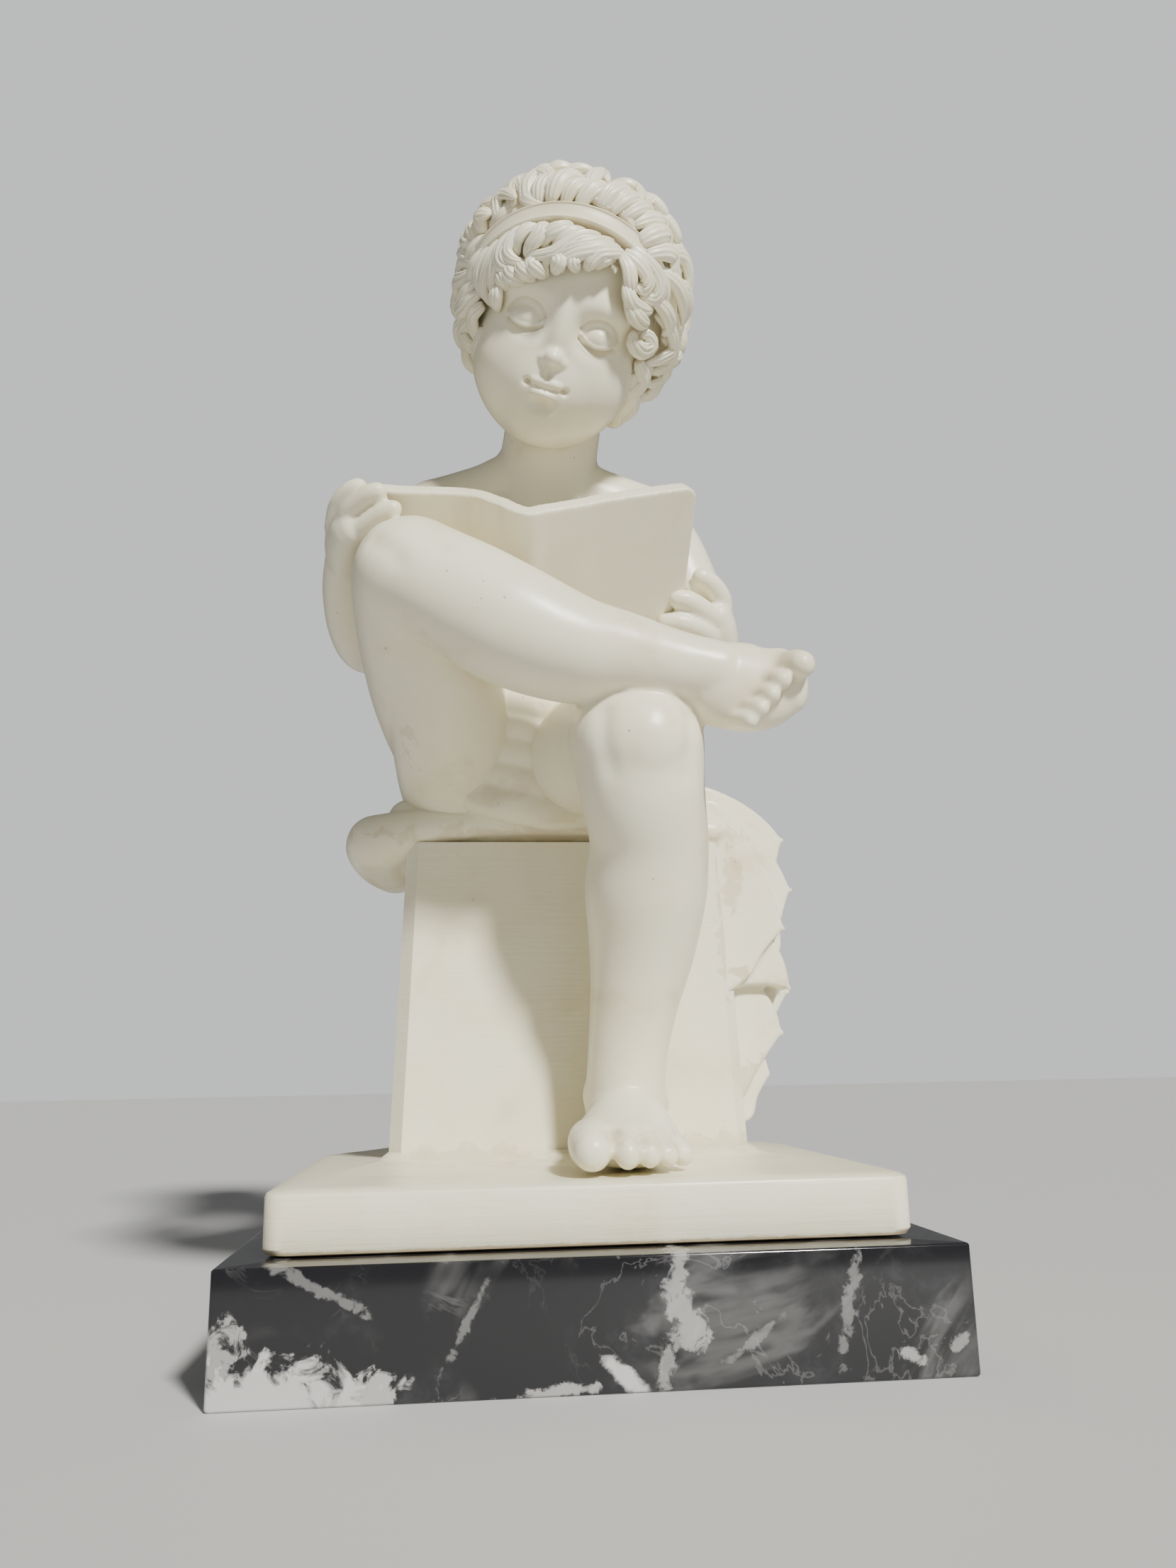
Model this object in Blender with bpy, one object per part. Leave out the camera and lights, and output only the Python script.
"""A child seated on a draped block, reading: one casting with its slab, on a polished marble plinth.

Metres, +Z up, the viewer stands at -Y. The origin is the middle of the plinth's underside.
"""

import math

import bmesh
import bpy
import numpy as np
from mathutils import Euler, Matrix, Vector

# Marble plinth
PLINTH_WIDTH = 0.150
PLINTH_DEPTH = 0.128
PLINTH_HEIGHT = 0.025
PLINTH_EDGE = 0.0006

# Slab cast in one with the figure
SLAB_WIDTH = 0.1355
SLAB_DEPTH = 0.109
SLAB_HEIGHT = 0.0124
SLAB_CORNER = 0.0035
BED_GAP = 0.0003
CORNER_STEPS = 3
SLAB_LOWER_EDGE = 0.0006
SLAB_UPPER_EDGE = 0.0008
SLAB_SWELL = 0.0034
SLAB_INNER_CORNER = 0.001
# The slab's top swells to the block's foot: share of the way to the block, share of the swell
SWELL_STEPS = [(0.3, 0.2), (0.6, 0.38), (0.9, 0.53), (1.0, 1.0)]

# Block that the child sits on
BLOCK_FOOT_WIDTH = 0.0925
BLOCK_TOP_WIDTH = 0.0855
BLOCK_DEPTH = 0.050
BLOCK_HEIGHT = 0.0823
BLOCK_CHAMFER = 0.0032
BLOCK_BACK_MARGIN = 0.0025

# Figure, drawn on a grid of units: its sitting height, block top to crown, is 206 of them
SITTING_HEIGHT = 0.206
GRID_UNITS = 206
CLAY_VOXEL = 0.0011
CLAY_SMOOTHING = 3
KEPT_SHARE = 0.036
RING_SIDES = 20
STEPS_PER_STATION = 4
CAP_RINGS = 3

# Carving of the figure, in grid units
BOOK_THICKNESS = 4.4
PAGE_HEIGHT = 46.0
LOCK_RADIUS = 2.7
LOCK_LIFTS = (3.2, 4.8, 5.4, 5.0, 3.6)
# Plainer locks behind the drawn ones: how many, how far each runs, its curl, and how far down they go
BACK_LOCKS = 190
BACK_LOCK_RUN = 0.13
BACK_LOCK_CURL = 0.6
BACK_LOCK_REACH = 1.75

PLINTH_TOP = PLINTH_HEIGHT
SLAB_BOTTOM = PLINTH_TOP + BED_GAP
SLAB_TOP = SLAB_BOTTOM + SLAB_HEIGHT
BLOCK_TOP = SLAB_TOP + BLOCK_HEIGHT
BLOCK_BACK = SLAB_DEPTH / 2 - BLOCK_BACK_MARGIN
BLOCK_FRONT = BLOCK_BACK - BLOCK_DEPTH
UNIT = SITTING_HEIGHT / GRID_UNITS
SEAT = Vector((0, BLOCK_FRONT, BLOCK_TOP))
GROUND = Vector((0, BLOCK_FRONT, SLAB_TOP))
TO_RIGHT_SIDE = Vector((BLOCK_TOP_WIDTH / 2, 0, 0))

# Head: its middle, its turn to the viewer's left, its bow and its lean
HEAD_MIDDLE = (1, -2, 154.5)
HEAD_SIZE = 0.95
HEAD_BOW = math.radians(28)
HEAD_LEAN = math.radians(17)
HEAD_TURN = math.radians(-5)

# Book: its spine's upper end, and how far its plane leans away from upright
BOOK_SPINE = (-8, -48, 73.4)
BOOK_LEAN = math.radians(50)
# The open book's curve: steps across from the spine, and how far the page lies towards the reader
BOOK_CURVE = [
    (-45, 11.5), (-37, 10.6), (-28, 10.4), (-18, 9.6), (-11.5, 5), (-5.4, -0.6), (0, 1.6), (7.5, 5),
    (15.5, 9.2), (27, 14.2),
    (39.5, 19.4),
]
BOOK_CORNER = 3.5

# Stations of each limb: middle x, y, z and half width, half depth, seen along the limb.
TORSO = [
    (-10, 28, 12, 25, 19), (-10, 28, 26, 27, 20), (-8, 26, 44, 25, 18), (-7, 25, 58, 24.5, 17),
    (-6, 25, 76, 28, 17), (-5, 25, 92, 33, 16), (-5, 26, 105, 35, 13.5), (-4, 26, 113, 26, 12),
    (-3, 25, 121, 17, 13),
]
NECK = [(-4, 25, 100, 17, 14), (-3, 23, 115, 15.4, 14), (-2, 19, 127, 14.8, 14), (0, 14, 140, 14.5, 15)]
YOKE = [
    (-37, 27, 106, 12.5, 12.5), (-22, 26, 112, 11.5, 11.5), (-5, 25, 117, 13, 13), (13, 26, 112, 11.5, 11.5),
    (28, 27, 106, 12.5, 12.5),
]
LEFT_THIGH = [
    (4, 28, 27, 21, 20), (7, 8, 26, 21, 19), (10, -16, 22, 19, 17.5), (12.5, -34, 18, 16.8, 16.5),
    (13.4, -42, 16, 16.2, 15.5),
]
LEFT_KNEE_TO_CALF = [
    (13.4, -42, 15.5, 16.2, 15), (14.8, -39.5, 4, 15, 14), (16.8, -34, -6, 14.4, 14),
    (16.6, -28, -17, 15, 15),
]
LEFT_CALF_TO_ANKLE = [
    (16, -23, 52, 13.2, 13.2), (14.2, -19.5, 39, 11, 11), (12.6, -16.5, 26, 9.8, 10), (12, -14, 14, 10, 10.6),
]
LEFT_KNEECAP = [(15.5, -47, 22.5, 9, 8), (14.5, -49.5, 15, 10.5, 8.5), (14.5, -47, 7.5, 8.5, 7.5)]
LEFT_FOOT = [
    (12.5, -4, 8.5, 7.5, 7.5), (12, -14, 9.5, 9.2, 9.3), (11, -25, 9.2, 10.5, 8.6), (9.6, -34, 7.8, 12, 6.8),
    (9.2, -41, 6.6, 12.4, 5.2),
]
LEFT_ANKLE_BONES = [
    [(5.2, -13, 19, 3, 3), (4.8, -14, 16.5, 3.4, 3.4), (5.2, -14, 14, 3, 3)],
    [(19.2, -14, 17, 3, 3), (19.6, -15, 14.5, 3.4, 3.4), (19.2, -15, 12, 3, 3)],
]
LEFT_TOES = [
    [(0.6, -37, 7.3, 4.8, 5), (-0.1, -44.5, 6.8, 4.7, 5), (0, -49, 5.8, 4.3, 4.4)],
    [(7.2, -40, 7.2, 3.2, 3.6), (7.4, -46, 6.6, 3.1, 3.6), (7.6, -50, 5, 2.9, 3.3)],
    [(11.9, -39, 7, 2.9, 3.3), (12.3, -44.5, 6.4, 2.8, 3.3), (12.6, -48.2, 4.8, 2.7, 3)],
    [(15.9, -37, 6.6, 2.8, 3), (16.5, -42, 6, 2.7, 3), (16.9, -45.6, 4.5, 2.6, 2.8)],
    [(19.6, -34, 6, 2.7, 2.8), (20.5, -38.5, 5.4, 2.6, 2.8), (20.9, -42, 4.2, 2.5, 2.7)],
]
HIPS = [
    [(-27, 24, 18, 18, 15), (-28, 8, 20, 18, 15), (-30, -6, 26, 17, 15), (-33, -20, 36, 15.5, 14),
     (-37, -32, 47, 14, 13),
     (-40, -40, 54, 13, 12)],
    [(4, 24, 17, 17, 13), (4.5, 4, 19, 17.5, 14), (6, -14, 20, 17.5, 15), (10, -28, 19, 15.5, 15)],
    [(-26, 22, 16.5, 14, 10), (-27, 4, 18, 13.5, 10), (-28, -5, 20.5, 12, 10)],
    [(1, 20, 16.5, 13.5, 10), (1, 2, 16.5, 13.5, 10), (4, -14, 16, 13.5, 10.5), (8, -26, 15, 12, 10.5)],
    [(-27, -7, 33, 10, 9), (-12, -5, 31, 10, 10), (4, -7, 30, 10, 9)],
]
RIGHT_THIGH = [
    (-18, 29, 31, 20.5, 22), (-27.5, 10, 33, 20, 22), (-34.5, -10, 40, 18, 20), (-39, -28, 50, 16, 17.5),
    (-40.5, -40, 57, 15, 15),
]
RIGHT_SHIN = [
    (-40.5, -43, 57.5, 14.6, 14.2), (-30, -48, 51, 14.4, 13.2), (-17, -50, 42.5, 14.6, 14.4),
    (-3, -49.5, 37, 13, 14),
    (9, -49.5, 35.2, 10.6, 11.6), (22, -50, 32.6, 8.6, 9), (31, -50.5, 31.2, 7.8, 8),
]
RIGHT_KNEECAP = [(-44, -47, 62, 8.5, 7.5), (-41, -49.5, 57.5, 9, 8), (-37, -49.5, 53, 8, 7.5)]
RIGHT_FOOT = [
    (17, -45, 30.5, 9, 8.2), (26, -47.5, 30.6, 9.2, 7.8), (34, -50, 28.4, 10.6, 7.4),
    (41, -52, 27.2, 10.6, 6.4),
    (47, -53.5, 28.4, 8.4, 5.4),
]
RIGHT_TOES = [
    [(45.5, -53, 30.5, 3.6, 3.6), (48.2, -58.5, 30.6, 3.7, 3.7), (49, -61.5, 29.8, 3.3, 3.3)],
    [(42, -54.5, 27.6, 2.3, 2.3), (43.8, -59, 27, 2.4, 2.4), (44.4, -61.3, 26, 2.2, 2.2)],
    [(39.5, -54, 24.6, 2.2, 2.2), (41.4, -58.8, 23.6, 2.3, 2.3), (41.8, -61, 22.5, 2.1, 2.1)],
    [(37, -54, 21.6, 2.1, 2.1), (38.8, -58.4, 20.4, 2.2, 2.2), (39.2, -60.4, 19.4, 2, 2)],
    [(34.8, -53.5, 19, 2.1, 2.1), (36.4, -57.4, 17.6, 2.2, 2.2), (36.8, -59.4, 16.7, 2, 2)],
]
RIGHT_ARM = [
    (-36, 27, 106, 13, 13), (-42, 25, 96, 11.5, 11.5), (-49, 22, 78, 10.2, 10.2), (-54, 15, 62, 9.4, 9.4),
    (-57, 3, 62, 8.8, 9.2), (-59, -10, 67, 7, 7.6), (-58.5, -21, 72, 5.6, 6.2),
]
RIGHT_PALM = [
    (-58.5, -19, 71.5, 5.4, 6.6), (-58.5, -28, 72.5, 5, 8), (-57, -34, 72.5, 4.6, 7.4),
    (-55.5, -37, 73, 4, 6),
]
RIGHT_FINGERS = [
    [(-60.5, -31, 75, 2.9, 2.9), (-59, -37, 78, 2.8, 2.8), (-56, -41, 80, 2.6, 2.6),
     (-54, -42.5, 80.6, 2.3, 2.3)],
    [(-58.5, -33, 72.5, 2.9, 2.9), (-56, -39, 75.5, 2.8, 2.8), (-51.5, -43.5, 77.8, 2.7, 2.7),
     (-49, -45, 78.2, 2.4, 2.4)],
    [(-56.5, -33, 69.5, 2.8, 2.8), (-53.5, -38.5, 71, 2.8, 2.8), (-48, -43, 73.5, 2.6, 2.6),
     (-45.2, -44.5, 74, 2.3, 2.3)],
]
LEFT_ARM = [
    (27, 27, 106, 13, 13), (35, 25, 95, 11.5, 11.5), (42, 22, 76, 10.2, 10.2), (46, 18, 58, 9.4, 9.4),
    (47.5, 11, 51, 8.8, 9), (46, 5, 51.5, 7.2, 7.6), (44.5, 1.5, 54, 6.2, 6.6),
]
LEFT_PALM = [(44, -0.5, 57, 5.6, 6.4), (43.5, -3.5, 61, 5, 6.6), (42.5, -6, 64, 4.2, 6)]
LEFT_FINGERS = [
    [(44, -4, 64, 3.3, 3.3), (43.5, -7.5, 67.5, 3.2, 3.2), (40.5, -10.5, 70.8, 3, 3),
     (37.2, -12, 72.4, 2.7, 2.7)],
    [(42.5, -5.5, 60.5, 3.3, 3.3), (39, -9.5, 62.5, 3.2, 3.2), (33.5, -12.5, 64.8, 3, 3),
     (30, -13, 65.4, 2.7, 2.7)],
    [(41, -5.5, 57, 3.3, 3.3), (37, -9, 58, 3.1, 3.1), (31, -11, 59.2, 2.9, 2.9),
     (27, -10.5, 59.4, 2.6, 2.6)],
]
LEFT_THUMB = [(43, -1, 62, 3.4, 3.4), (39.5, -4, 67, 3.1, 3.1), (35, -8.5, 70, 2.8, 2.8)]

# Cloth: the pad under the child, the roll over the block's left side and the folds down its right side
SEAT_CLOTH = [
    (-45, 23, 1.5, 6.5, 19), (-36, 24, 4, 7.5, 23), (-18, 25, 5, 8.5, 25), (4, 25, 5, 8.5, 25),
    (24, 24, 4.5, 8, 24.5),
    (40, 22, 2, 7, 20),
]
FRONT_HEM = [
    (-50, 9, 1.6, 7.8, 8.2), (-43, 7, 3.4, 6.6, 7.6), (-34, 5, 5, 5.2, 7), (-22, 4, 5.8, 4.6, 6.6),
    (-8, 4, 6, 4.4, 6.4),
    (8, 4, 5.8, 4.4, 6.4), (24, 4.5, 5, 4.4, 6.6), (40, 6, 3.4, 4.6, 6.6),
]
SECOND_FOLD = [
    (-43, 11, 8.5, 5.4, 6), (-33, 7.5, 9.8, 4, 6), (-20, 6.4, 9.8, 3.2, 6), (-6, 6, 9.4, 2.8, 6),
    (10, 6.4, 8.4, 2.6, 6),
]
LEFT_ROLL = [
    (-51, 9, 1.6, 8.4, 7.6), (-51.5, 16, 1, 8.6, 7.8), (-50.5, 28, 0, 8.2, 7.8), (-48, 42, 0, 7.5, 7.6),
]
LAP_CLOTH = [(-26, 28, 14, 13, 10), (-14, 17, 16, 12, 10), (0, 15, 16, 12, 10), (18, 26, 14, 12, 9)]
HIP_FOLDS = [
    [(-37, 26, 5, 8, 7), (-34, 40, 6, 8, 8), (-10, 47, 6, 9, 9), (16, 44, 6, 8, 8), (32, 30, 5, 8, 7)],
    [(-33, 22, 13, 8, 7), (-30, 36, 15, 9, 9), (-9, 45, 17, 10, 10), (13, 39, 15, 9, 9), (28, 26, 12, 8, 7)],
    [(-33, 27, 22, 6, 6), (-28, 39, 24, 7, 7), (-9, 46, 27, 7.5, 7.5), (11, 40, 24, 7, 7),
     (22, 28, 21, 6, 6)],
    [(-32, 28, 30, 4.5, 4.5), (-25, 40, 34, 5, 5), (-9, 45, 37, 5.5, 5.5), (8, 40, 34, 5, 5),
     (18, 29, 29, 4.5, 4.5)],
]
# Folds of the seat cloth hung across the lap, from thigh to thigh, one above another
SWAG_COUNT = 5
SWAG_FOOT = 8
SWAG_STEP = 6.4
SWAG_ENDS = (-26, 4)
SWAG_DEPTH = -8.5
SWAG_LEAN = 0.27
SWAG_SAG = 3.4
SWAG_RADII = (4.4, 5.5)
# Each fold of the right side: front and back depth, how round its shoulder is, the height of its head,
# then its tip's step out and height, and its foot's step out and height
SIDE_FOLDS = [
    (1, 11, 0.5, 7, 17, -23, 5, -37), (5, 18, 1.0, -18, 19, -39, 8, -38), (9, 21, 0.5, 14, 22, -11, 16, -30),
    (9, 20, 0.9, -33, 17, -51, 3, -70), (18, 31, 0.5, 20, 23, 5, 17, -20),
    (17, 29, 0.8, -20, 22, -39, 14, -54),
    (17, 29, 0.8, -46, 15, -62, 8, -74), (28, 41, 0.7, 15, 19, -10, 15, -26),
    (28, 41, 0.7, -22, 17, -38, 11, -60),
    (37, 46, 0.7, 11, 14, -20, 10, -34), (37, 46, 0.7, -30, 12, -46, 8, -60),
]
FOLD_ROOT = -4
FOLD_HEM_SAG = 1.2
SHOULDER_STEPS = 5
TIP_TURN = 0.6
FOLD_EDGE = 1.6
FOLD_SWEEP = 0.22

SKULL_RADII = (30, 35, 32)
SKULL_MIDDLE = (0, 5, 8)
# Head: the middle its skin is measured from, and forms: middle, radii, softness, added (1) or cut out (-1)
HEAD_ROWS = 44
HEAD_SIDES = 56
HEAD_CORE = (0, -4, -4)
HEAD_FORMS = [
    (0, -7, -11, 22.5, 22.5, 24, 10, 1), (11.5, -16.5, -14.5, 11.5, 11, 12, 7, 1),
    (0, -12.5, -19, 18, 15.5, 15, 7, 1),
    (0, -21, -28.5, 7.5, 6.5, 6, 6, 1), (0, -23.8, -20, 9, 6, 7.5, 6, 1), (10.5, -24.5, 5, 8, 4, 3.2, 7, 1),
    (11.3, -33.2, -1.8, 6.8, 5.6, 4.6, 5, -1), (11, -23.6, -2.6, 5.6, 5.3, 4.5, 1.3, 1),
    (0, -28, -4, 2.5, 4, 8.5, 3.5, 1),
    (0, -31.4, -11.6, 3.1, 3.4, 2.8, 2.4, 1), (3, -29.4, -12.3, 2.1, 2.8, 2, 1.4, 1),
    (1.7, -32.8, -14.4, 0.9, 1.6, 0.7, 0.6, -1),
    (2.1, -29.8, -18.6, 3.6, 2.2, 1.45, 1, 1), (0, -29.8, -21.8, 4.3, 2.4, 1.75, 1.2, 1),
    (6.6, -30.6, -20.3, 1.4, 1.4, 1.1, 2, -1), (0, -31.8, -16.2, 0.9, 1.3, 1.7, 0.8, -1),
    (0, -31.6, -25.2, 4.5, 2.4, 1.6, 2, -1),
]
# The ribbon's plane across the skull: its side, its shift as a share of the skull's radii, and its section
BAND_SIDE = Vector((0.0, 0.80, 0.60))
BAND_SHIFT = -0.31
BAND_LIFT = 3.6
BAND_HALF_WIDTH = 3.1
BAND_HALF_DEPTH = 2.0
BAND_STEPS = 28
RIBBON_MARGIN = 0.1
CAP_SUNK = -5.0
CAP_RISE = 9.2
# Locks of hair: angles from the face's middle and from the crown, in degrees, from root to tip
FRINGE = [
    [(-55, 81), (-58, 88), (-60, 95), (-56, 102)], [(-51, 77), (-53, 85), (-54, 93), (-50, 100), (-46, 104)],
    [(-47, 74), (-47, 83), (-48, 91), (-48, 100), (-41, 107)],
    [(-42, 72), (-42, 80), (-43, 89), (-42, 97), (-39, 103)],
    [(-28, 66), (-32, 71), (-34, 77), (-33, 82)], [(-23, 65), (-23, 69), (-23, 73), (-26, 78), (-28, 82)],
    [(-9, 62), (-14, 67), (-19, 71), (-21, 76)], [(-1, 63), (-8, 67), (-12, 72), (-14, 77)],
    [(-20, 81), (-22, 85), (-18, 87), (-14, 88)], [(-11, 79), (-9, 82), (-11, 86)],
    [(-29, 86), (-25, 89), (-19, 91)],
    [(-36, 88), (-31, 92), (-24, 93)], [(-2, 76), (-2, 80), (1, 81)], [(-40, 91), (-36, 94), (-33, 98)],
    [(-39, 97), (-37, 102), (-39, 108)], [(-36, 68), (-37, 75), (-37, 82), (-32, 85), (-26, 84)],
    [(-39, 71), (-41, 79), (-40, 86), (-35, 89), (-28, 86)],
    [(7, 63), (-1, 66), (-7, 71), (-13, 78), (-24, 82), (-26, 85)],
    [(15, 63), (7, 66), (0, 70), (-7, 74), (-13, 79), (-16, 83), (-13, 88)],
    [(19, 66), (11, 68), (4, 72), (-4, 76), (-9, 81), (-6, 84)],
    [(21, 67), (14, 70), (8, 73), (5, 78), (4, 80)],
    [(17, 70), (12, 73), (10, 75), (9, 78)],
]
TEMPLE_LOCKS = [
    [(20, 68), (24, 75), (27, 81), (32, 81)], [(22, 66), (29, 70), (35, 75), (34, 80), (30, 78)],
    [(25, 64), (35, 69), (42, 76), (41, 82), (34, 83)], [(29, 66), (38, 71), (47, 78), (48, 86)],
    [(26, 79), (26, 84), (30, 88), (38, 88), (45, 85)], [(39, 80), (49, 84), (57, 89), (57, 94)],
    [(28, 86), (31, 91), (37, 93), (44, 92)], [(48, 86), (61, 90), (69, 97), (61, 104), (54, 109)],
    [(61, 93), (74, 96), (76, 104), (65, 111)], [(74, 98), (80, 104), (80, 111), (69, 117)],
    [(80, 107), (82, 113), (80, 121), (71, 123)], [(49, 109), (58, 115), (58, 122), (60, 126)],
    [(38, 98), (37, 102), (44, 104), (49, 100), (44, 97), (42, 100)],
    [(51, 115), (61, 124), (69, 134), (80, 139)],
    [(71, 125), (84, 130), (86, 138), (88, 145)], [(65, 132), (80, 139), (86, 145)],
    [(-65, 88), (-74, 86), (-80, 90), (-80, 96)],
    [(-59, 91), (-68, 95), (-77, 96), (-80, 101), (-78, 106)],
    [(-56, 95), (-60, 100), (-65, 105), (-76, 108), (-82, 104)],
    [(-52, 101), (-59, 107), (-68, 110), (-70, 116)], [(-48, 106), (-53, 111), (-52, 118), (-49, 123)],
    [(-57, 112), (-65, 118), (-60, 124), (-51, 125)], [(-72, 112), (-79, 116), (-80, 123), (-70, 128)],
    [(-70, 122), (-71, 129), (-71, 134), (-80, 134)], [(-48, 116), (-48, 123), (-54, 130), (-64, 136)],
]
CROWN_LOCKS = [
    [(27, 50), (38, 46), (50, 45), (48, 51)], [(31, 58), (39, 54), (50, 51), (51, 57)],
    [(36, 63), (46, 60), (54, 61), (53, 69)],
    [(47, 67), (55, 70), (63, 75), (69, 80), (75, 85)], [(57, 55), (72, 55), (78, 62), (77, 69)],
    [(72, 42), (77, 51), (80, 60), (82, 68), (83, 72)], [(63, 68), (76, 69), (81, 76), (84, 82)],
    [(-59, 66), (-66, 59), (-62, 55), (-48, 57)], [(-75, 56), (-73, 49), (-66, 45), (-50, 52)],
    [(-52, 58), (-66, 49), (-65, 42), (-49, 44)], [(-43, 56), (-51, 48), (-53, 39), (-39, 41), (-32, 49)],
    [(-36, 54), (-40, 47), (-40, 39), (-32, 38)], [(-68, 39), (-65, 35), (-61, 31), (-56, 26)],
    [(-64, 33), (-60, 29), (-54, 25), (-45, 21)], [(-28, 52), (-29, 44), (-26, 36), (-16, 33)],
    [(-19, 51), (-18, 45), (-13, 39), (-4, 38)], [(-59, 28), (-49, 22), (-35, 17), (-16, 15)],
    [(-10, 50), (-6, 43), (1, 38), (9, 40)], [(-6, 43), (-9, 33), (-4, 22), (5, 29)],
    [(3, 48), (7, 41), (17, 35), (24, 39)],
    [(10, 48), (17, 42), (26, 38), (31, 41)], [(13, 14), (37, 17), (53, 22), (36, 34)],
    [(43, 28), (62, 27), (68, 34), (71, 37)],
    [(18, 49), (26, 44), (38, 40), (44, 43)], [(62, 28), (70, 36), (75, 45), (76, 48)],
    [(-67, 69), (-77, 62), (-66, 58)],
    [(-67, 73), (-69, 68), (-62, 66)], [(-70, 79), (-76, 73), (-74, 68)],
]


def clear_scene():
    """Start from an empty scene."""
    for thing in list(bpy.data.objects):
        bpy.data.objects.remove(thing)


def finish(name, colour, roughness):
    """A plain material for one casting or stone."""
    made = bpy.data.materials.new(name)
    made.use_nodes = True
    shader = made.node_tree.nodes["Principled BSDF"]
    shader.inputs["Base Color"].default_value = (*colour, 1)
    shader.inputs["Roughness"].default_value = roughness
    shader.inputs["Metallic"].default_value = 0.0
    return made


def add_object(name, mesh, material):
    """Put a mesh in the scene with its material."""
    made = bpy.data.objects.new(name, mesh)
    bpy.context.scene.collection.objects.link(made)
    mesh.materials.append(material)
    return made


def on_seat(point):
    """Grid point of the seated body, measured from the block's top front edge."""
    return SEAT + Vector(point) * UNIT


def on_ground(point):
    """Grid point of the standing foot, measured from the slab's top below the block's front."""
    return GROUND + Vector(point) * UNIT


def spline(points, t):
    """Point of the smooth curve through the points at parameter t, counted in stations."""
    last = len(points) - 1
    i = min(int(t), last - 1)
    u = t - i
    a, b, c, d = (points[max(0, min(last, k))] for k in (i - 1, i, i + 1, i + 2))
    ramp = (-u + 2 * u**2 - u**3, 2 - 5 * u**2 + 3 * u**3, u + 4 * u**2 - 3 * u**3, -(u**2) + u**3)
    return 0.5 * (a * ramp[0] + b * ramp[1] + c * ramp[2] + d * ramp[3])


def add_rings(clay, rings):
    """Skin closed rings of equal length, and close both ends."""
    loops = [[clay.verts.new(p) for p in ring] for ring in rings]
    for low, high in zip(loops, loops[1:]):
        for i in range(len(low)):
            j = (i + 1) % len(low)
            clay.faces.new((low[i], low[j], high[j], high[i]))
    clay.faces.new(list(reversed(loops[0])))
    clay.faces.new(loops[-1])


def limb(clay, centres, widths, depths):
    """A limb with rounded ends: elliptical rings along the smooth curve through its stations."""
    count = (len(centres) - 1) * STEPS_PER_STATION
    ts = [k / STEPS_PER_STATION for k in range(count + 1)]
    path = [spline(centres, t) for t in ts]
    wide = [spline(widths, t) for t in ts]
    deep = [spline(depths, t) for t in ts]
    first_way = (path[1] - path[0]).normalized()
    last_way = (path[-1] - path[-2]).normalized()
    rounds = [math.pi / 2 * k / (CAP_RINGS + 1) for k in range(1, CAP_RINGS + 1)]
    start_reach, end_reach = min(wide[0], deep[0]), min(wide[-1], deep[-1])
    start = [(path[0] - first_way * start_reach * math.sin(a), wide[0] * math.cos(a), deep[0] * math.cos(a))
             for a in reversed(rounds)]
    end = [(path[-1] + last_way * end_reach * math.sin(a), wide[-1] * math.cos(a), deep[-1] * math.cos(a))
           for a in rounds]
    stations = start + list(zip(path, wide, deep)) + end
    across = Vector((0, 0, 1)) if abs(first_way.x) > 0.9 else Vector((1, 0, 0))
    rings = []
    for k, (middle, half_wide, half_deep) in enumerate(stations):
        before, after = stations[max(0, k - 1)][0], stations[min(len(stations) - 1, k + 1)][0]
        way = (after - before).normalized()
        across = (across - way * across.dot(way)).normalized()
        other = way.cross(across)
        rings.append([
            middle + across * half_wide * math.cos(2 * math.pi * i / RING_SIDES)
            + other * half_deep * math.sin(2 * math.pi * i / RING_SIDES)
            for i in range(RING_SIDES)
        ])
    add_rings(clay, rings)


def grid_limb(clay, stations, place=on_seat):
    """A limb from its table of stations on the grid."""
    widths, depths = ([s[k] * UNIT for s in stations] for k in (3, 4))
    limb(clay, [place(s[:3]) for s in stations], widths, depths)


def ball(clay, frame, middle, radii):
    """An ellipsoid in a frame of grid units."""
    where = frame @ Matrix.Translation(middle) @ Matrix.Diagonal((*radii, 1))
    bmesh.ops.create_uvsphere(clay, u_segments=24, v_segments=14, radius=1, matrix=where)


def head_frame():
    """The head's own axes: x to the viewer's right, -y out of the face, z to the crown, in grid units."""
    turn = Euler((0, 0, HEAD_TURN)).to_matrix()
    bow = Euler((HEAD_BOW, 0, 0)).to_matrix()
    lean = Euler((0, HEAD_LEAN, 0)).to_matrix()
    turned = (turn @ bow @ lean).to_4x4()
    return Matrix.Translation(on_seat(HEAD_MIDDLE)) @ turned @ Matrix.Scale(HEAD_SIZE * UNIT, 4)


def on_head(frame, way, lift):
    """Point over the skull in a direction of the head's own axes."""
    return frame @ (Vector(w * (r + lift) for w, r in zip(way, SKULL_RADII)) + Vector(SKULL_MIDDLE))


def way_of(turn, polar):
    """Direction from two angles: round from the face's middle, and down from the crown."""
    return Vector((math.sin(polar) * math.sin(turn), -math.sin(polar) * math.cos(turn), math.cos(polar)))


def ellipsoid_distance(points, middle, radii):
    """Distance from each point to an ellipsoid, near enough for carving."""
    near = (points - np.array(middle)) / np.array(radii)
    length = np.linalg.norm(near, axis=-1)
    slope = np.linalg.norm(near / np.array(radii), axis=-1)
    return length * (length - 1) / np.maximum(slope, 1e-6)


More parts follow.
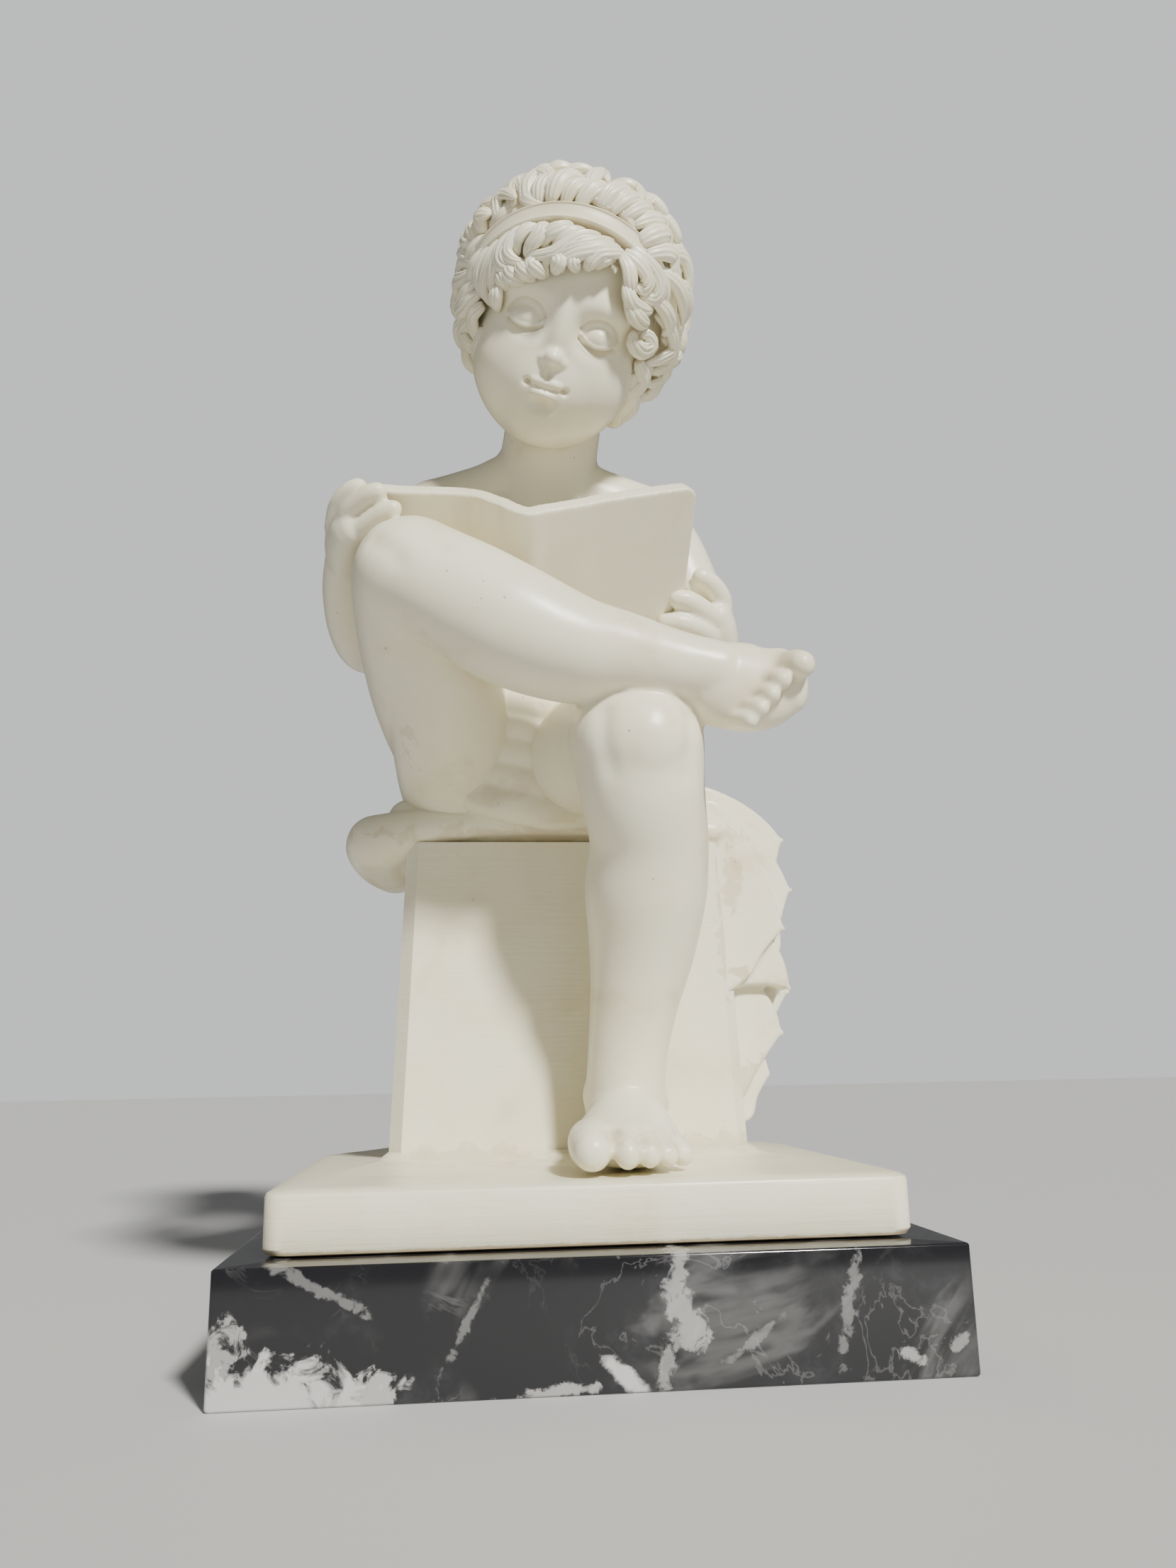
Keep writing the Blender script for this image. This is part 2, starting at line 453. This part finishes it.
def head_distance(points):
    """Distance to the head: each form is blended in, or cut out, over its own soft width."""
    distance = ellipsoid_distance(points, SKULL_MIDDLE, SKULL_RADII)
    for x, y, z, wide, deep, high, soft, way in HEAD_FORMS:
        for side in (1, -1) if x else (1,):
            other = way * ellipsoid_distance(points, (side * x, y, z), (wide, deep, high))
            share = np.clip(0.5 + 0.5 * way * (distance - other) / soft, 0, 1)
            distance = distance + (other - distance) * share - way * soft * share * (1 - share)
    return distance


def add_head(clay):
    """The head as one skin: along each direction from its middle, the place where the distance is nil."""
    frame = head_frame()
    rings, lows, highs = [], np.zeros((HEAD_ROWS, HEAD_SIDES)), np.full((HEAD_ROWS, HEAD_SIDES), 60.0)
    polar = (np.arange(HEAD_ROWS) + 0.5)[:, None] * math.pi / HEAD_ROWS
    around = np.arange(HEAD_SIDES)[None, :] * 2 * math.pi / HEAD_SIDES
    ways = np.stack([np.sin(polar) * np.sin(around), -np.sin(polar) * np.cos(around),
                     np.cos(polar) + 0 * around], axis=-1)
    for _ in range(24):
        middles = (lows + highs) / 2
        inside = head_distance(ways * middles[..., None] + np.array(HEAD_CORE)) < 0
        lows, highs = np.where(inside, middles, lows), np.where(inside, highs, middles)
    for row in ways * lows[..., None] + np.array(HEAD_CORE):
        rings.append([frame @ Vector(point) for point in row])
    add_rings(clay, list(reversed(rings)))


def hair_share(way):
    """1 where hair grows and 0 on the face and neck, by the angle from the middle of each."""
    face = math.degrees(way.angle(Vector((0.0, -0.95, -0.32))))
    neck = math.degrees(way.angle(Vector((0.0, 0.25, -1.0))))
    return min(max((face - 58) / 8, 0), 1) * min(max((neck - 38) / 8, 0), 1)


def add_lock(clay, frame, ways):
    """One lock of hair: a limb over the skull through these directions, thick in the middle."""
    shares = [k / (len(ways) - 1) for k in range(len(ways))]
    lifts = np.interp(shares, np.linspace(0, 1, len(LOCK_LIFTS)), LOCK_LIFTS)
    centres = [on_head(frame, way, lift) for way, lift in zip(ways, lifts)]
    sizes = [LOCK_RADIUS * HEAD_SIZE * UNIT * (0.7 + 0.4 * math.sin(math.pi * share)) for share in shares]
    limb(clay, centres, sizes, sizes)


def back_lock(k):
    """Directions of one of the plainer locks, which are spread over the head by the golden angle."""
    polar = math.acos(1 - BACK_LOCK_REACH * (k + 0.5) / BACK_LOCKS)
    turn = k * math.pi * (3 - math.sqrt(5)) % (2 * math.pi) - math.pi
    flip = 1 if k * 7 % 5 < 3 else -1
    heading = 0.9 * flip if way_of(turn, polar).dot(BAND_SIDE) > BAND_SHIFT else -1.2
    ways = [way_of(turn, polar)]
    for step in range(4):
        heading += BACK_LOCK_CURL * flip * (1 if step > 1 else -0.6)
        turn += BACK_LOCK_RUN * math.sin(heading) / max(math.sin(polar), 0.35)
        polar += BACK_LOCK_RUN * math.cos(heading)
        ways.append(way_of(turn, polar))
    return ways


def add_hair(clay):
    """The mass of the hair, the drawn locks in front, plainer locks behind, and the ribbon round them."""
    frame = head_frame()
    rings = []
    for row in range(1, HEAD_ROWS):
        polar = math.pi * row / HEAD_ROWS
        ways = [way_of(2 * math.pi * k / HEAD_SIDES, polar) for k in range(HEAD_SIDES)]
        rings.append([on_head(frame, way, CAP_SUNK + CAP_RISE * hair_share(way)) for way in ways])
    add_rings(clay, list(reversed(rings)))
    for row in FRINGE + TEMPLE_LOCKS + CROWN_LOCKS:
        add_lock(clay, frame, [way_of(math.radians(turn), math.radians(polar)) for turn, polar in row])
    for k in range(BACK_LOCKS):
        ways = back_lock(k)
        clear = all(abs(way.dot(BAND_SIDE) - BAND_SHIFT) > RIBBON_MARGIN for way in ways)
        if clear and hair_share(ways[0]) > 0.55:
            add_lock(clay, frame, ways)
    ahead = Vector((0, -BAND_SIDE.z, BAND_SIDE.y))
    reach = math.sqrt(1 - BAND_SHIFT**2)
    turns = [2 * math.pi * k / BAND_STEPS for k in range(BAND_STEPS + 1)]
    rims = [Vector((math.sin(a), 0, 0)) + ahead * math.cos(a) for a in turns]
    band = [on_head(frame, BAND_SIDE * BAND_SHIFT + rim * reach, BAND_LIFT) for rim in rims]
    deep, wide = (half * HEAD_SIZE * UNIT for half in (BAND_HALF_DEPTH, BAND_HALF_WIDTH))
    limb(clay, band, [deep] * len(band), [wide] * len(band))


def book_point(across, rise, down):
    """Point of the open book: steps across from the spine, towards the reader and down the page."""
    turn = Euler((BOOK_LEAN, 0, 0)).to_matrix()
    return on_seat(Vector(BOOK_SPINE) + turn @ Vector((across, rise, -down)))


def add_book(clay):
    """The curved open book, its outer corners rounded."""
    half = BOOK_THICKNESS / 2
    curve = [Vector((across, rise, 0)) for across, rise in BOOK_CURVE]
    spots = [spline(curve, (len(curve) - 1) * k / 16) for k in range(17)]
    rings = []
    for k, spot in enumerate(spots):
        along = spots[min(16, k + 1)] - spots[max(0, k - 1)]
        off = Vector((-along.y, along.x, 0)).normalized() * half
        trim = BOOK_CORNER if k in (0, 16) else 0
        front, rear = spot - off, spot + off
        rings.append([
            book_point(front.x, front.y, trim), book_point(rear.x, rear.y, trim),
            book_point(rear.x, rear.y, PAGE_HEIGHT - trim), book_point(front.x, front.y, PAGE_HEIGHT - trim),
        ])
    add_rings(clay, rings)


def add_body(clay):
    """Torso, limbs, hands and feet."""
    trunk = (TORSO, NECK, YOKE, *HIPS)
    legs = (LEFT_THIGH, LEFT_KNEECAP, RIGHT_THIGH, RIGHT_SHIN, RIGHT_KNEECAP, RIGHT_FOOT, *RIGHT_TOES)
    arms = (RIGHT_ARM, RIGHT_PALM, *RIGHT_FINGERS, LEFT_ARM, LEFT_PALM, *LEFT_FINGERS, LEFT_THUMB)
    for stations in (*trunk, *legs, *arms):
        grid_limb(clay, stations)
    leg = [(on_seat(s[:3]), s) for s in LEFT_KNEE_TO_CALF]
    leg += [(on_ground(s[:3]), s) for s in LEFT_CALF_TO_ANKLE]
    limb(clay, [p for p, _ in leg], [s[3] * UNIT for _, s in leg], [s[4] * UNIT for _, s in leg])
    for stations in (LEFT_FOOT, *LEFT_ANKLE_BONES, *LEFT_TOES):
        grid_limb(clay, stations, on_ground)


def lap_swags():
    """Cloth hung across the lap: sagging parabolas, each a step above and ahead of the one below."""
    left, right = SWAG_ENDS
    swags = []
    for count in range(SWAG_COUNT):
        rise = count * SWAG_STEP
        stations = []
        for share in (-1, -0.5, 0, 0.5, 1):
            across = (left + right) / 2 + (right - left) / 2 * share
            sag = SWAG_SAG * share**2
            stations.append((across, SWAG_DEPTH - SWAG_LEAN * rise, SWAG_FOOT + rise + sag, *SWAG_RADII))
        swags.append(stations)
    return swags


def fold_outline(rounding, head, tip_out, tip, foot_out, foot):
    """A shoulder out to the tip, part quarter ellipse and part straight line, then the hem back in."""
    outline = [(FOLD_ROOT, head)]
    for step in range(SHOULDER_STEPS + 1):
        share = step / SHOULDER_STEPS
        quarter = share * math.pi / 2
        out = rounding * math.sin(quarter) + (1 - rounding) * share
        down = rounding * math.cos(quarter) + (1 - rounding) * (1 - share)
        outline.append((tip_out * out, tip + (head - tip) * down))
    outline.append((tip_out - TIP_TURN, tip - TIP_TURN))
    outline.append(((tip_out + foot_out) / 2 + FOLD_HEM_SAG, (tip + foot) / 2 - FOLD_HEM_SAG))
    return outline + [(foot_out, foot), (FOLD_ROOT, foot)]


def add_cloth(clay):
    """The seat pad, the roll at the left, the cloth over the lap and the hanging folds at the right."""
    for stations in (SEAT_CLOTH, FRONT_HEM, SECOND_FOLD, LEFT_ROLL, LAP_CLOTH, *HIP_FOLDS, *lap_swags()):
        grid_limb(clay, stations)
    for front, back, *sizes in SIDE_FOLDS:
        outline = fold_outline(*sizes)
        innermost = FOLD_ROOT
        rings = []
        near, far = front + FOLD_EDGE, back - FOLD_EDGE
        for deep, inset in ((front, FOLD_EDGE), (near, 0), (far, 0), (back, FOLD_EDGE)):
            spots = [(max(x - inset, innermost), deep + FOLD_SWEEP * max(x, 0), z) for x, z in outline]
            rings.append([on_seat(spot) + TO_RIGHT_SIDE for spot in spots])
        add_rings(clay, list(reversed(rings)))


def modelled_clay():
    """The figure, book and cloth fused into one skin, softened, then thinned to few faces."""
    clay = bmesh.new()
    add_body(clay)
    add_head(clay)
    add_hair(clay)
    add_book(clay)
    add_cloth(clay)
    mesh = bpy.data.meshes.new("clay")
    clay.to_mesh(mesh)
    clay.free()
    figure = cutter("clay", mesh)
    fuse = figure.modifiers.new("Fuse", "REMESH")
    fuse.mode = "VOXEL"
    fuse.voxel_size = CLAY_VOXEL
    soften = figure.modifiers.new("Soften", "SMOOTH")
    soften.factor = 0.5
    soften.iterations = CLAY_SMOOTHING
    thin = figure.modifiers.new("Thin", "DECIMATE")
    thin.ratio = KEPT_SHARE
    return figure


def outer_skin(name, form):
    """The mesh of a form with its modifiers, without any pocket closed inside it."""
    bpy.context.view_layer.update()
    graph = bpy.context.evaluated_depsgraph_get()
    mesh = bpy.data.meshes.new_from_object(form.evaluated_get(graph))
    mesh.name = name
    shape = bmesh.new()
    shape.from_mesh(mesh)
    shape.faces.ensure_lookup_table()
    skins, seen = [], set()
    for face in shape.faces:
        if face in seen:
            continue
        skin, edge_of = {face}, [face]
        while edge_of:
            for edge in edge_of.pop().edges:
                for near in edge.link_faces:
                    if near not in skin:
                        skin.add(near)
                        edge_of.append(near)
        seen |= skin
        skins.append(skin)
    largest = max(skins, key=len)
    inner = [vert for vert in shape.verts if not any(face in largest for face in vert.link_faces)]
    bmesh.ops.delete(shape, geom=inner, context="VERTS")
    shape.to_mesh(mesh)
    shape.free()
    return mesh


def box_mesh(name, low, high, top_inset=0.0):
    """A box between two corners, whose upper end may be narrower in x."""
    mesh = bpy.data.meshes.new(name)
    shape = bmesh.new()
    corners = [((low.x, low.y), (high.x, low.y), (high.x, high.y), (low.x, high.y)),
               ((low.x + top_inset, low.y), (high.x - top_inset, low.y),
                (high.x - top_inset, high.y), (low.x + top_inset, high.y))]
    bottom = [shape.verts.new((x, y, low.z)) for x, y in corners[0]]
    top = [shape.verts.new((x, y, high.z)) for x, y in corners[1]]
    shape.faces.new(list(reversed(bottom)))
    shape.faces.new(top)
    for i in range(4):
        j = (i + 1) % 4
        shape.faces.new((bottom[i], bottom[j], top[j], top[i]))
    return mesh, shape


def upright_edges(shape):
    """The edges that run up the sides of a box."""
    runs = [(edge, edge.verts[0].co - edge.verts[1].co) for edge in shape.edges]
    return [edge for edge, run in runs if abs(run.z) > max(abs(run.x), abs(run.y))]


def cutter(name, mesh):
    """A helper solid that other solids are joined with."""
    made = bpy.data.objects.new(name, mesh)
    bpy.context.scene.collection.objects.link(made)
    made.hide_render = True
    made.display_type = "WIRE"
    return made


def join(target, other):
    """Unite another solid with the target."""
    union = target.modifiers.new("Join " + other.name, "BOOLEAN")
    union.operation = "UNION"
    union.solver = "EXACT"
    union.object = other


def block_solid():
    """The tapering block, its upright edges chamfered, set a little into the slab."""
    low = Vector((-BLOCK_FOOT_WIDTH / 2, BLOCK_FRONT, SLAB_TOP - SLAB_HEIGHT / 2))
    high = Vector((BLOCK_FOOT_WIDTH / 2, BLOCK_BACK, BLOCK_TOP))
    mesh, shape = box_mesh("block", low, high, (BLOCK_FOOT_WIDTH - BLOCK_TOP_WIDTH) / 2)
    bmesh.ops.bevel(shape, geom=upright_edges(shape), offset=BLOCK_CHAMFER, segments=1, affect="EDGES")
    shape.to_mesh(mesh)
    shape.free()
    return cutter("block", mesh)


def rounded_ring(left, right, front, back, radius, z):
    """A level rectangle with rounded corners."""
    ring = []
    for x, y, start in ((right - radius, back - radius, 0), (left + radius, back - radius, 90),
                        (left + radius, front + radius, 180), (right - radius, front + radius, 270)):
        for k in range(CORNER_STEPS + 1):
            a = math.radians(start + 90 * k / CORNER_STEPS)
            ring.append(Vector((x + radius * math.cos(a), y + radius * math.sin(a), z)))
    return ring


def slab_solid():
    """The slab: rounded corners, softened arrises, and a top that swells to the foot of the block."""
    mesh = bpy.data.meshes.new("slab")
    shape = bmesh.new()
    half_foot = BLOCK_FOOT_WIDTH / 2
    rings = []
    steps = [(0, SLAB_LOWER_EDGE, 0), (0, 0, SLAB_LOWER_EDGE), (0, 0, SLAB_HEIGHT - SLAB_UPPER_EDGE),
             (0, SLAB_UPPER_EDGE, SLAB_HEIGHT)]
    steps += [(share, SLAB_UPPER_EDGE, SLAB_HEIGHT + SLAB_SWELL * rise) for share, rise in SWELL_STEPS]
    for share, inset, z in steps:
        side = (SLAB_WIDTH / 2 - inset) * (1 - share) + half_foot * share
        front = (-SLAB_DEPTH / 2 + inset) * (1 - share) + BLOCK_FRONT * share
        back = (SLAB_DEPTH / 2 - inset) * (1 - share) + BLOCK_BACK * share
        corner = SLAB_CORNER * (1 - share) + SLAB_INNER_CORNER * share
        rings.append(rounded_ring(-side, side, front, back, corner, SLAB_BOTTOM + z))
    add_rings(shape, rings)
    shape.to_mesh(mesh)
    shape.free()
    return cutter("slab", mesh)


def add_plinth(material):
    """The marble plinth with its arrises taken off."""
    low = Vector((-PLINTH_WIDTH / 2, -PLINTH_DEPTH / 2, 0))
    high = Vector((PLINTH_WIDTH / 2, PLINTH_DEPTH / 2, PLINTH_TOP))
    mesh, shape = box_mesh("marble_plinth", low, high)
    bmesh.ops.bevel(shape, geom=shape.edges[:], offset=PLINTH_EDGE, segments=1, affect="EDGES")
    shape.to_mesh(mesh)
    shape.free()
    return add_object("marble_plinth", mesh, material)


def main():
    """Build the casting and the plinth under it."""
    clear_scene()
    cast = finish("ivory_cast", (0.86, 0.83, 0.73), 0.38)
    marble = finish("black_marble", (0.02, 0.02, 0.022), 0.15)
    form = modelled_clay()
    helpers = [form, block_solid(), slab_solid()]
    for other in helpers[1:]:
        join(form, other)
    add_object("statue", outer_skin("statue", form), cast)
    for helper in helpers:
        bpy.data.objects.remove(helper)
    add_plinth(marble)


main()
